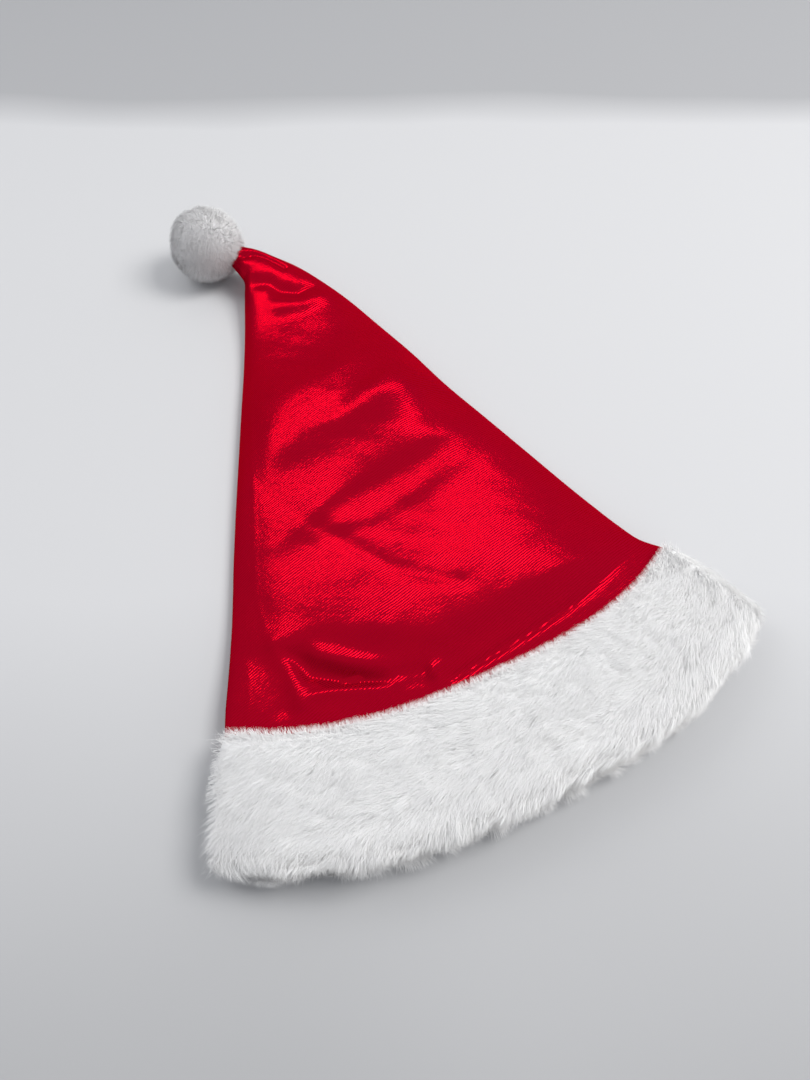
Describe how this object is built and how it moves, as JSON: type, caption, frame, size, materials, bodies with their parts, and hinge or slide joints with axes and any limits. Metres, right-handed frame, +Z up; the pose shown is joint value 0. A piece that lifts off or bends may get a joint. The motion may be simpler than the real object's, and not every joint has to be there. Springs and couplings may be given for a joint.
{
  "type": "santa hat",
  "caption": "Floppy cone hat of shiny cloth with a wide plush band round the head opening and a plush pompom on the gathered tip, lying flat.",
  "frame": {"origin": "under the middle of the hat's box, on the surface that it lies on", "axes": "+Y from the head opening towards the tip, +Z up from the surface, +X to the right with the opening towards the viewer"},
  "size_m": [0.3068, 0.472, 0.0514],
  "materials": {
    "crown_cloth": "shiny metallic red cloth with a fine diagonal rib",
    "band_plush": "deep white plush, brushed into locks",
    "pompom_plush": "short dense white plush"
  },
  "bodies": {
    "root": {"crown": "crown_cloth", "fur_band": "band_plush", "pompom": "pompom_plush"}
  },
  "joints": []
}
